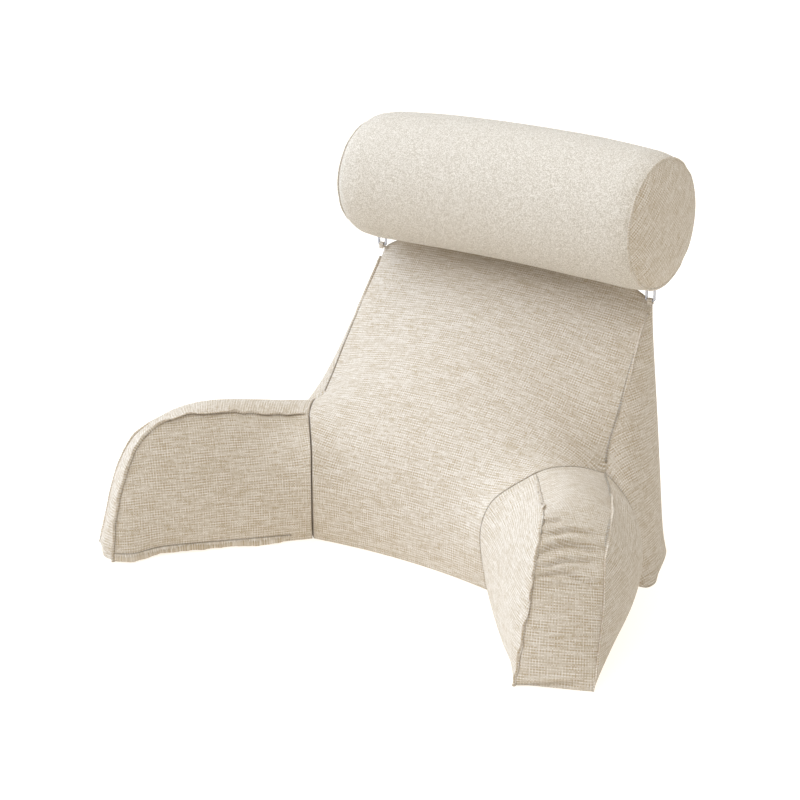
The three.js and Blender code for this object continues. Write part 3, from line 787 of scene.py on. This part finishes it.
def arm_piece(side):
    """One arm: pulled, moved off the wedge by its seam's gap, given lips, mirrored for the left, and
    creased."""
    seed = LIP_SEEDS[side]
    points = points_of(arm.data)
    start = points.copy()
    for place, pull, reach in PULLS[side]:
        away = np.linalg.norm((start - in_frame(place)) * (1, 1, 0.6), axis=1) / (reach * MM)
        points += np.exp(-away**2)[:, None] * np.array(pull) * MM
    gusset, inner, outer, root = (arm_numbers[k] for k in ("gusset", "inner", "outer", "root"))
    points += unit(in_frame(TIP_INNER) - in_frame(FOOT_INNER)) * SEAM_GAP * MM
    points[:, 2] = np.maximum(points[:, 2], 0.0)
    flange = points[gusset[:, 0]]
    length = run_of(flange)
    kink = KINKS[side] * MM * (drift(length, 0.013, seed + 3) + 0.5 * drift(length, 0.006, seed + 4))
    kink *= np.clip(length / 0.04, 0, 1)
    points[gusset[:, 0]] += unit(points[gusset[:, 1]] - flange) * kink[:, None]
    creases = crease_rows(points[gusset], side)
    down = unit(in_frame(TIP_INNER) - points[gusset[CELLS["arm"] * ARM_FINE, 0]])
    hem = points[inner[HEM_ROW, HEM_START:]]
    edge_beside = lambda panel: np.concatenate([panel[-2], panel[:-1, -2][::-1]])
    rows = slice(2, None)
    lips = [
        seam_lip(points, gusset[rows, 0], edge_beside(inner)[rows], gusset[rows, 1],
                 seed=seed, ends=(0.1, 0.85), **INNER_LIP[side]),
        seam_lip(points, gusset[rows, -1], edge_beside(outer)[rows], gusset[rows, -2],
                 height=2.6, thick=1.8, seed=seed + 5, sway=0.3, ends=(0.1, 0.1)),
    ]
    if side == "left":  # its foot shows a hem, which on the right arm is tucked under the swell
        lips.append(lip(hem, hem + (0, 0, 0.01), height=8.6, thick=2.6, seed=seed + 9, sway=0.3,
                        lean=-0.2, root=1.0, ends=(0.1, 0.9)))
    faces, cloth = arm_quads, arm_cloth
    if side == "left":
        points, faces, cloth = mirror_skin(points, faces, cloth)
        lips = [mirror_skin(*one) for one in lips]
        creases = [(mirrored(row), depth, width) for row, depth, width in creases]
        down = mirrored(down)
    made = piece_of("arm_cushion_" + side, points, faces, cloth)
    # each seam: its row, how deep it sinks in mm, and how dark its painted shade is
    seams = [(gusset[:, 0], 1.4, 1.0), (gusset[:, -1], 0.5, 0.8), (inner[0], 0.6, 0.9),
             (outer[0], 0.6, 0.9), (gusset[-1], 0.6, 0.9),
             *((edge, 1.0, 1.0) for edge in (root[-1], root[0], root[:, 0], root[:, -1]))]
    if side == "left":
        seams.append((inner[HEM_ROW, HEM_START:], 1.0, 1.0))
    mark_seams(made, seams)
    return finish_skin(made, lips, creases, down)


arms = {side: arm_piece(side) for side in ("right", "left")}
bpy.data.objects.remove(arm)

# %% [markdown]
# ## Ends of the roll
# The round seam at each end of the roll draws the canvas into small gathers, and a thin welt stands
# on it. The gathers are waves round the seam that die away along the barrel.

# %% Gathers and welts on the roll
ROLL_SHADE = 0.75  # the roll's painted seam shade is fainter than the cover's
GATHER = 1.5  # mm, the height of the gathers


def gather_roll(points):
    """Moves barrel points in and out by a wave round the seam, fading by exp(-distance / 12 mm)."""
    grid = points[barrel[:-1]]
    angle = np.arange(ROLL_AROUND) * 2 * np.pi / ROLL_AROUND
    wave = 0.9 * drift(angle * 0.09, 0.012, 5) + 0.5 * drift(angle * 0.09, 0.03, 6)
    centre = grid.mean(0, keepdims=True)
    out = unit((grid - centre) * (0, 1, 1))
    for column, far in ((0, grid[:, :1]), (-1, grid[:, -1:])):
        away = np.linalg.norm(grid - far, axis=2)
        fade = np.exp(-away / 0.012) * np.clip(away / 0.004, 0, 1)
        grid = grid + out * (np.roll(wave, 31 * column)[:, None] * GATHER * MM * fade)[..., None]
    points[barrel[:-1]] = grid
    return points


settled = gather_roll(points_of(roll.data))
put_points(roll.data, settled)
roll_lips = []
for name, column, beside, seed in (("left", 0, 1, 90), ("right", -1, -2, 97)):
    loop = np.append(barrel[:-1, column], barrel[:3, column])
    inner_loop = np.append(barrel[:-1, beside], barrel[:3, beside])
    centre = settled[barrel[:-1, column]].mean(0)
    line = settled[loop]
    roll_lips.append(lip(line, (settled[inner_loop] + centre) / 2, height=1.6, thick=2.4, seed=seed,
                         sway=0.1, root=3.0, ends=(1, 1)))
# the roll's seams sink 0.5 mm and carry a fainter painted shade
mark_seams(roll, [(np.append(ring, ring[0]), 0.5, ROLL_SHADE) for ring in rings.values()])
# the welts' painted foot shade is made as faint
roll_lips = [(*rest, low * ROLL_SHADE) for *rest, low in roll_lips]
roll = finish_skin(roll, roll_lips)

# %% [markdown]
# ## Clips and tabs
# At each end of the wedge's top edge a small clear clip holds the roll, and a doubled tape holds the
# clip. Both are profiles carried along a path: a round bar along a rounded frame, and a flat tape
# along a hairpin over the frame's lower bar.

# %% Clip and tab
CLIP = {"x": 218, "y": 266, "width": 15, "height": 20, "bar": 3, "thick": 3.6, "corner": 4, "bottom": 338.6}
TAB = {"width": 7, "thick": 1.4, "foot": 334.7, "gap": 0.3}


def rounded_frame(half_wide, half_high, corner, count):
    """A rectangle with round corners, as an angle goes round: each corner is a quarter circle."""
    turn = np.linspace(0, 2 * np.pi, count + 1)[:-1] + 1e-6
    x = np.sign(np.cos(turn)) * (half_wide - corner) + corner * np.cos(turn)
    z = np.sign(np.sin(turn)) * (half_high - corner) + corner * np.sin(turn)
    return x, z


def clip_mesh(name, side):
    """The bar's oval section, carried round the middle line of the clip's frame."""
    half_wide, half_high = (CLIP["width"] - CLIP["bar"]) / 2, (CLIP["height"] - CLIP["bar"]) / 2
    x, z = rounded_frame(half_wide, half_high, CLIP["corner"] - CLIP["bar"] / 2, 64)
    path = np.stack([x, np.zeros(64), z], 1)
    out = unit(np.stack([np.roll(z, -1) - np.roll(z, 1), np.zeros(64), np.roll(x, 1) - np.roll(x, -1)], 1))
    wide = rounded(np.cos(TURN), 0.6) * CLIP["bar"] / 2
    deep = rounded(np.sin(TURN), 0.6) * CLIP["thick"] / 2
    ring = path[:, None] + out[:, None] * wide[None, :, None] + np.array([0, 1.0, 0]) * deep[None, :, None]
    ring = in_frame(ring + (CLIP["x"], CLIP["y"], CLIP["bottom"] + CLIP["height"] / 2))
    number = np.arange(64 * 16).reshape(64, 16)
    a, b = number, np.roll(number, -1, 0)
    quads = np.stack([a, np.roll(a, -1, 1), np.roll(b, -1, 1), b], 2).reshape(-1, 4)
    if not looks_out(ring[0], ring[1]):
        quads = quads[:, ::-1]
    skin = ring.reshape(-1, 3), quads, np.zeros((len(quads), 4, 2))
    return piece_of(name, *(skin if side > 0 else mirror_skin(*skin)))


def tab_mesh(name, side):
    """A tape's flat section carried up, over the clip's lower bar and down again."""
    half = CLIP["thick"] / 2 + TAB["gap"] + TAB["thick"] / 2
    reach = CLIP["bottom"] + CLIP["bar"] + TAB["gap"] + TAB["thick"] / 2
    turn = np.linspace(0, np.pi, 13)
    y = np.concatenate([np.full(8, -half), -half * np.cos(turn), np.full(8, half)])
    low = np.linspace(TAB["foot"], reach - half * 0.55, 8)
    z = np.concatenate([low, reach - half * 0.55 + half * 0.55 * np.sin(turn), low[::-1]])
    path = np.stack([np.zeros(len(y)), y, z], 1)
    keep = np.concatenate([[True], np.linalg.norm(np.diff(path, axis=0), axis=1) > 1e-6])
    path = path[keep]
    along = unit(np.gradient(path, axis=0))
    out = np.cross(along, np.array([1.0, 0, 0]))
    wide = rounded(np.cos(TURN), 0.35) * TAB["width"] / 2
    deep = rounded(np.sin(TURN), 0.6) * TAB["thick"] / 2
    ring = path[:, None] + np.array([1.0, 0, 0]) * wide[None, :, None] + out[:, None] * deep[None, :, None]
    ring = in_frame(ring + (CLIP["x"], CLIP["y"], 0.0))
    skin = tube(ring, run_of(path) * MM, run_of(ring[0]))
    return piece_of(name, *(skin if side > 0 else mirror_skin(*skin)))


clips = {side: clip_mesh("clip_ring_" + side, way) for side, way in (("right", 1), ("left", -1))}
tabs = {side: tab_mesh("tab_tape_" + side, way) for side, way in (("right", 1), ("left", -1))}

# %% [markdown]
# ## The weave
# The cover is a plain weave of slubbed threads: warps run up a panel and wefts across it, and each
# thread has its own tone, which drifts along its length, so that the cloth shows an irregular check.
# A picture of cloth would repeat and blur. The node group below works it out from the cloth
# coordinates instead: which thread is on top, how round it is there, and how pale it is. Its colour
# also carries painted shade: in the dips between threads, and along the seams.

# %% Node helpers
def shader_group(name, inputs, outputs):
    """An empty node group with the named sockets, and its input and output nodes."""
    made = bpy.data.node_groups.new(name, "ShaderNodeTree")
    for title, kind, value in inputs:
        socket = made.interface.new_socket(name=title, in_out="INPUT", socket_type=kind)
        if value is not None:
            socket.default_value = value
    for title, kind in outputs:
        made.interface.new_socket(name=title, in_out="OUTPUT", socket_type=kind)
    return made, made.nodes.new("NodeGroupInput"), made.nodes.new("NodeGroupOutput")


def feed(tree, sockets, values):
    """Gives each socket its value: a link from another node's output, or a constant."""
    for socket, value in zip(sockets, values):
        if isinstance(value, (int, float, tuple)):
            socket.default_value = value
        else:
            tree.links.new(value, socket)


def math_node(tree, operation, *values):
    """A Math node whose inputs are sockets or numbers; returns its result."""
    node = tree.nodes.new("ShaderNodeMath")
    node.operation = operation
    feed(tree, node.inputs, values)
    return node.outputs[0]


def noise_node(tree, x, y, seed):
    """Smooth noise read at two numbers, from 0 to 1."""
    place = tree.nodes.new("ShaderNodeCombineXYZ")
    feed(tree, place.inputs, (x, y, seed))
    noise = tree.nodes.new("ShaderNodeTexNoise")
    feed(tree, [noise.inputs[k] for k in ("Vector", "Scale", "Detail")], (place.outputs[0], 1.0, 1.0))
    return noise.outputs["Fac"]


def mix_colours(tree, share, a, b, blend="MIX"):
    """A Mix node for two colours, or for one multiplied by the other."""
    node = tree.nodes.new("ShaderNodeMix")
    node.data_type, node.blend_type = "RGBA", blend
    feed(tree, [socket for socket in node.inputs if socket.enabled], (share, a, b))
    return next(socket for socket in node.outputs if socket.enabled)


# %% The weave group
def weave_group():
    """Colour and height of a plain weave at cloth coordinates in metres. The colour carries painted
    shade in the dips between threads and along the seams.
    """
    numbers = {"Warps": 600.0, "Wefts": 600.0, "Painted Seam Shade": 0.0, "Warp Contrast": 1.0, "Weft Contrast": 1.0,
               "Warp Stripe": 0.3, "Weft Stripe": 0.3, "Grain": 0.2, "Balance": 0.5}
    tree, given, result = shader_group(
        "slub weave",
        [("Cloth", "NodeSocketVector", None), ("Pale", "NodeSocketColor", (0.9, 0.87, 0.82, 1)),
         ("Tan", "NodeSocketColor", (0.6, 0.5, 0.38, 1)),
         *((title, "NodeSocketFloat", value) for title, value in numbers.items())],
        [("Color", "NodeSocketColor"), ("Height", "NodeSocketFloat")])
    given = given.outputs

    def calc(operation, *values):
        return math_node(tree, operation, *values)

    def noise(x, x_scale, y, y_scale, seed):
        return noise_node(tree, calc("MULTIPLY", x, x_scale), calc("MULTIPLY", y, y_scale), seed)

    parts = tree.nodes.new("ShaderNodeSeparateXYZ")
    tree.links.new(given["Cloth"], parts.inputs[0])
    x = calc("MULTIPLY", parts.outputs[0], given["Warps"])
    y = calc("MULTIPLY", parts.outputs[1], given["Wefts"])

    def swayed(a, b, seed):
        """Threads wander a little from their straight line."""
        return calc("MULTIPLY_ADD", noise(a, 0.06, b, 0.03, seed), 1.2, a)

    x, y = swayed(x, y, 4.0), swayed(y, x, 9.0)
    warp, weft = calc("FLOOR", x), calc("FLOOR", y)

    def over(along, number):
        """Height of a thread where it passes over (1) or under (-1) its neighbours."""
        return calc("SINE", calc("MULTIPLY", calc("ADD", along, number), math.pi))

    def round_of(side):
        """Height of a thread's round back above its edges."""
        return calc("SINE", calc("MULTIPLY", calc("FRACT", side), math.pi))

    warp_high = calc("MULTIPLY_ADD", over(y, warp), 0.45, round_of(x))
    weft_high = calc("SUBTRACT", round_of(y), calc("MULTIPLY", over(x, weft), 0.45))
    height = calc("MAXIMUM", warp_high, weft_high)
    on_top = calc("MULTIPLY_ADD", calc("SUBTRACT", warp_high, weft_high), 2.0, 0.5)
    on_top.node.use_clamp = True
    cell = tree.nodes.new("ShaderNodeCombineXYZ")
    feed(tree, cell.inputs, (warp, weft))
    chance = tree.nodes.new("ShaderNodeTexWhiteNoise")
    chance.noise_dimensions = "2D"
    tree.links.new(cell.outputs[0], chance.inputs["Vector"])
    speck = calc("MULTIPLY", calc("SUBTRACT", chance.outputs["Value"], 0.5), given["Grain"])

    def tone(number, along, slub, seed, contrast, stripe, every):
        """A thread's paleness: its own chance value with slow slubs, wide bands of threads, and one
        pale thread in every few."""
        own = noise(number, 1.9, along, slub, seed)
        band = noise(number, 0.09, along, 0.012, seed + 20.0)
        both = calc("MULTIPLY_ADD", own, 0.96, calc("MULTIPLY", band, 0.04))
        spread = calc("MULTIPLY", calc("SUBTRACT", both, 0.5), given[contrast])
        shown = calc("MULTIPLY_ADD", spread, 4.0, given["Balance"])
        turn = calc("FLOORED_MODULO", number, float(every))
        pale_one = calc("SUBTRACT", calc("LESS_THAN", turn, 0.5), 1.0 / every)
        shown = calc("ADD", calc("MULTIPLY_ADD", pale_one, given[stripe], shown), speck)
        shown.node.use_clamp = True
        return mix_colours(tree, shown, given["Tan"], given["Pale"])

    warp_tone = tone(warp, y, 0.15, 1.0, "Warp Contrast", "Warp Stripe", 3)
    weft_tone = tone(weft, x, 0.07, 40.0, "Weft Contrast", "Weft Stripe", 2)
    # painted shade between threads: the colour darkens where the weave lies low, to 0.70 in the deepest
    # dips
    shade = calc("MULTIPLY_ADD", height, 0.26, 0.70)
    shade.node.use_clamp = True
    # painted shade along seams: the colour darkens by up to 34% where the seam attribute is 1, narrowed by
    # a sixth power
    sunk = calc("POWER", given["Painted Seam Shade"], 6.0)
    shade = calc("MULTIPLY", shade, calc("MULTIPLY_ADD", sunk, -0.34, 1.0))
    painted_shade_grey = tree.nodes.new("ShaderNodeCombineColor")
    feed(tree, painted_shade_grey.inputs, (shade, shade, shade))
    both = mix_colours(tree, on_top, weft_tone, warp_tone)
    feed(tree, [result.inputs["Color"], result.inputs["Height"]],
         (mix_colours(tree, 1.0, both, painted_shade_grey.outputs[0], "MULTIPLY"), height))
    return tree


WEAVE = weave_group()


def surface(name, **values):
    """A material, its node tree and its shader, whose inputs get values by name, _ for a space."""
    material = bpy.data.materials.new(name)
    material.use_nodes = True
    shader = material.node_tree.nodes["Principled BSDF"]
    inputs = {socket.name.lower(): socket for socket in shader.inputs}
    for title, value in values.items():
        inputs[title.replace("_", " ")].default_value = value
    return material, material.node_tree, shader


def cloth_material(name, bump, **values):
    """A cloth finish: the weave group read at the piece's cloth coordinates, with its own values."""
    material, tree, shader = surface(name, roughness=0.92, specular_ior_level=0.2, sheen_weight=0.1,
                                    sheen_roughness=0.5)
    place = tree.nodes.new("ShaderNodeUVMap")
    place.uv_map = "cloth"
    # the painted seam shade that the seams and the lips' feet write on each piece
    seams = tree.nodes.new("ShaderNodeAttribute")
    seams.attribute_name = "painted_seam_shade"
    weave = tree.nodes.new("ShaderNodeGroup")
    weave.node_tree = WEAVE
    for title, value in values.items():
        weave.inputs[title.replace("_", " ").title()].default_value = value
    tree.links.new(place.outputs[0], weave.inputs["Cloth"])
    tree.links.new(seams.outputs["Fac"], weave.inputs["Painted Seam Shade"])
    raised = tree.nodes.new("ShaderNodeBump")
    raised.inputs["Strength"].default_value = bump
    raised.inputs["Distance"].default_value = 0.0008
    tree.links.new(weave.outputs["Height"], raised.inputs["Height"])
    tree.links.new(weave.outputs["Color"], shader.inputs["Base Color"])
    tree.links.new(raised.outputs[0], shader.inputs["Normal"])
    return material


def plastic_material():
    """Clear plastic whose gloss varies a little over the piece."""
    material, tree, shader = surface("clear clip", base_color=(0.7, 0.71, 0.77, 1),
                                    transmission_weight=0.55, ior=1.46)
    place = tree.nodes.new("ShaderNodeTexCoord")
    noise = tree.nodes.new("ShaderNodeTexNoise")
    noise.inputs["Scale"].default_value = 900.0
    tree.links.new(place.outputs["Object"], noise.inputs["Vector"])
    rough = tree.nodes.new("ShaderNodeMapRange")
    rough.inputs["To Min"].default_value, rough.inputs["To Max"].default_value = 0.12, 0.3
    tree.links.new(noise.outputs["Fac"], rough.inputs["Value"])
    tree.links.new(rough.outputs[0], shader.inputs["Roughness"])
    return material


COVER = cloth_material(
    "cover weave", 0.3, warps=600.0, wefts=590.0, pale=(0.76, 0.705, 0.635, 1), tan=(0.455, 0.36, 0.24, 1),
    warp_contrast=0.35, weft_contrast=0.75, warp_stripe=0.1, weft_stripe=0.6, grain=0.3, balance=0.5)
ROLL_CANVAS = cloth_material(
    "roll canvas", 0.3, warps=1000.0, wefts=980.0, pale=(0.77, 0.72, 0.645, 1), tan=(0.40, 0.335, 0.25, 1),
    warp_contrast=0.06, weft_contrast=0.06, warp_stripe=0.1, weft_stripe=0.1, grain=0.8, balance=0.62)
CLEAR = plastic_material()

# %% [markdown]
# ## Dressing the pieces
# Each piece now gets its finish, rides on the part's one body, and stands for its imported solid. The
# roll carries two cloths: fine canvas on its barrel and the cover's weave on its ends.

# %% Dress, ride, replace
root = list(frame["bodies"])[0]


def dress(piece, node, slot, *materials):
    for material in materials:
        piece.data.materials.append(material)
    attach(piece, root)
    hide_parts(node)


dress(wedge, "backrest", "cover_cloth", COVER)
dress(roll, "bolster", "roll_cloth", ROLL_CANVAS, COVER)
for side in ("right", "left"):
    dress(arms[side], "arm_" + side, "cover_cloth", COVER)
    dress(clips[side], "clip_" + side, "clip_plastic", CLEAR)
    dress(tabs[side], "tab_" + side, "cover_cloth", COVER)

across_x = read(roll.data.polygons, "center", 3)[:, 0] / MM - ROLL["x"]
is_end = (across_x > ROLL_RIGHT - 1.0) | (across_x < ROLL_LEFT + 1.0)
roll.data.polygons.foreach_set("material_index", is_end.astype(np.int32))

# %% [markdown]
# ## Studio
# The photograph has pure white all round, as on a light table. So the pale floor glows a little, the
# room adds a faint warm fill, and broad soft suns light the cloth: one from straight above, one from
# the left, which makes the right arm's inner face read brightest, and a faint one from the front.

# %% Floor, light and camera
FLOOR_HALF = 80.0  # m
FLOOR_CLEAR = 0.0005  # m, the floor lies this much under the part

floor_mesh = bpy.data.meshes.new("floor")
corners = [(FLOOR_HALF * x, FLOOR_HALF * y, 0) for x, y in ((-1, -1), (1, -1), (1, 1), (-1, 1))]
floor_mesh.from_pydata(corners, [], [(0, 1, 2, 3)])
floor = object_of("floor", floor_mesh)
floor.data.materials.append(surface("studio floor", base_color=(0.35, 0.35, 0.35, 1), roughness=0.9,
                                   emission_color=(1, 0.95, 0.86, 1), emission_strength=0.86)[0])
floor.location.z = -FLOOR_CLEAR


def broad_sun(name, towards, strength, softness, colour):
    """A sun is a lamp at infinity, so the floor is lit evenly; its angle makes its shadows soft."""
    light = bpy.data.lights.new(name, "SUN")
    light.energy, light.angle, light.color = strength, math.radians(softness), colour
    object_of(name, light).rotation_euler = Vector(towards).to_track_quat("-Z", "Y").to_euler()


broad_sun("top", (0, 0.1, -1), 2.55, 100, (1, 1, 0.98))
broad_sun("left", (0.8, 0.3, -0.5), 2.75, 50, (0.64, 0.77, 0.97))
broad_sun("front", (0.3, 0.75, -0.45), 0.35, 50, (1.0, 0.93, 0.85))

world = bpy.data.worlds.new("white room")
world.use_nodes = True
room = world.node_tree.nodes["Background"].inputs
room["Color"].default_value, room["Strength"].default_value = (1, 0.94, 0.84, 1), 0.2
bpy.context.scene.world = world
bpy.context.scene.view_settings.view_transform = "Standard"

AZIMUTH, ELEVATION = math.radians(35.6210), math.radians(20.5908)
TARGET, DISTANCE = Vector((-0.030957, -0.0245, 0.212114)), 3.22471
back = Vector((math.sin(AZIMUTH) * math.cos(ELEVATION), -math.cos(AZIMUTH) * math.cos(ELEVATION),
               math.sin(ELEVATION)))
camera_data = bpy.data.cameras.new("camera")
camera_data.lens, camera_data.sensor_width = 109.73, 36.0
camera = object_of("camera", camera_data)
camera.location = TARGET + back * DISTANCE
camera.rotation_euler = (-back).to_track_quat("-Z", "Y").to_euler()
bpy.context.scene.camera = camera
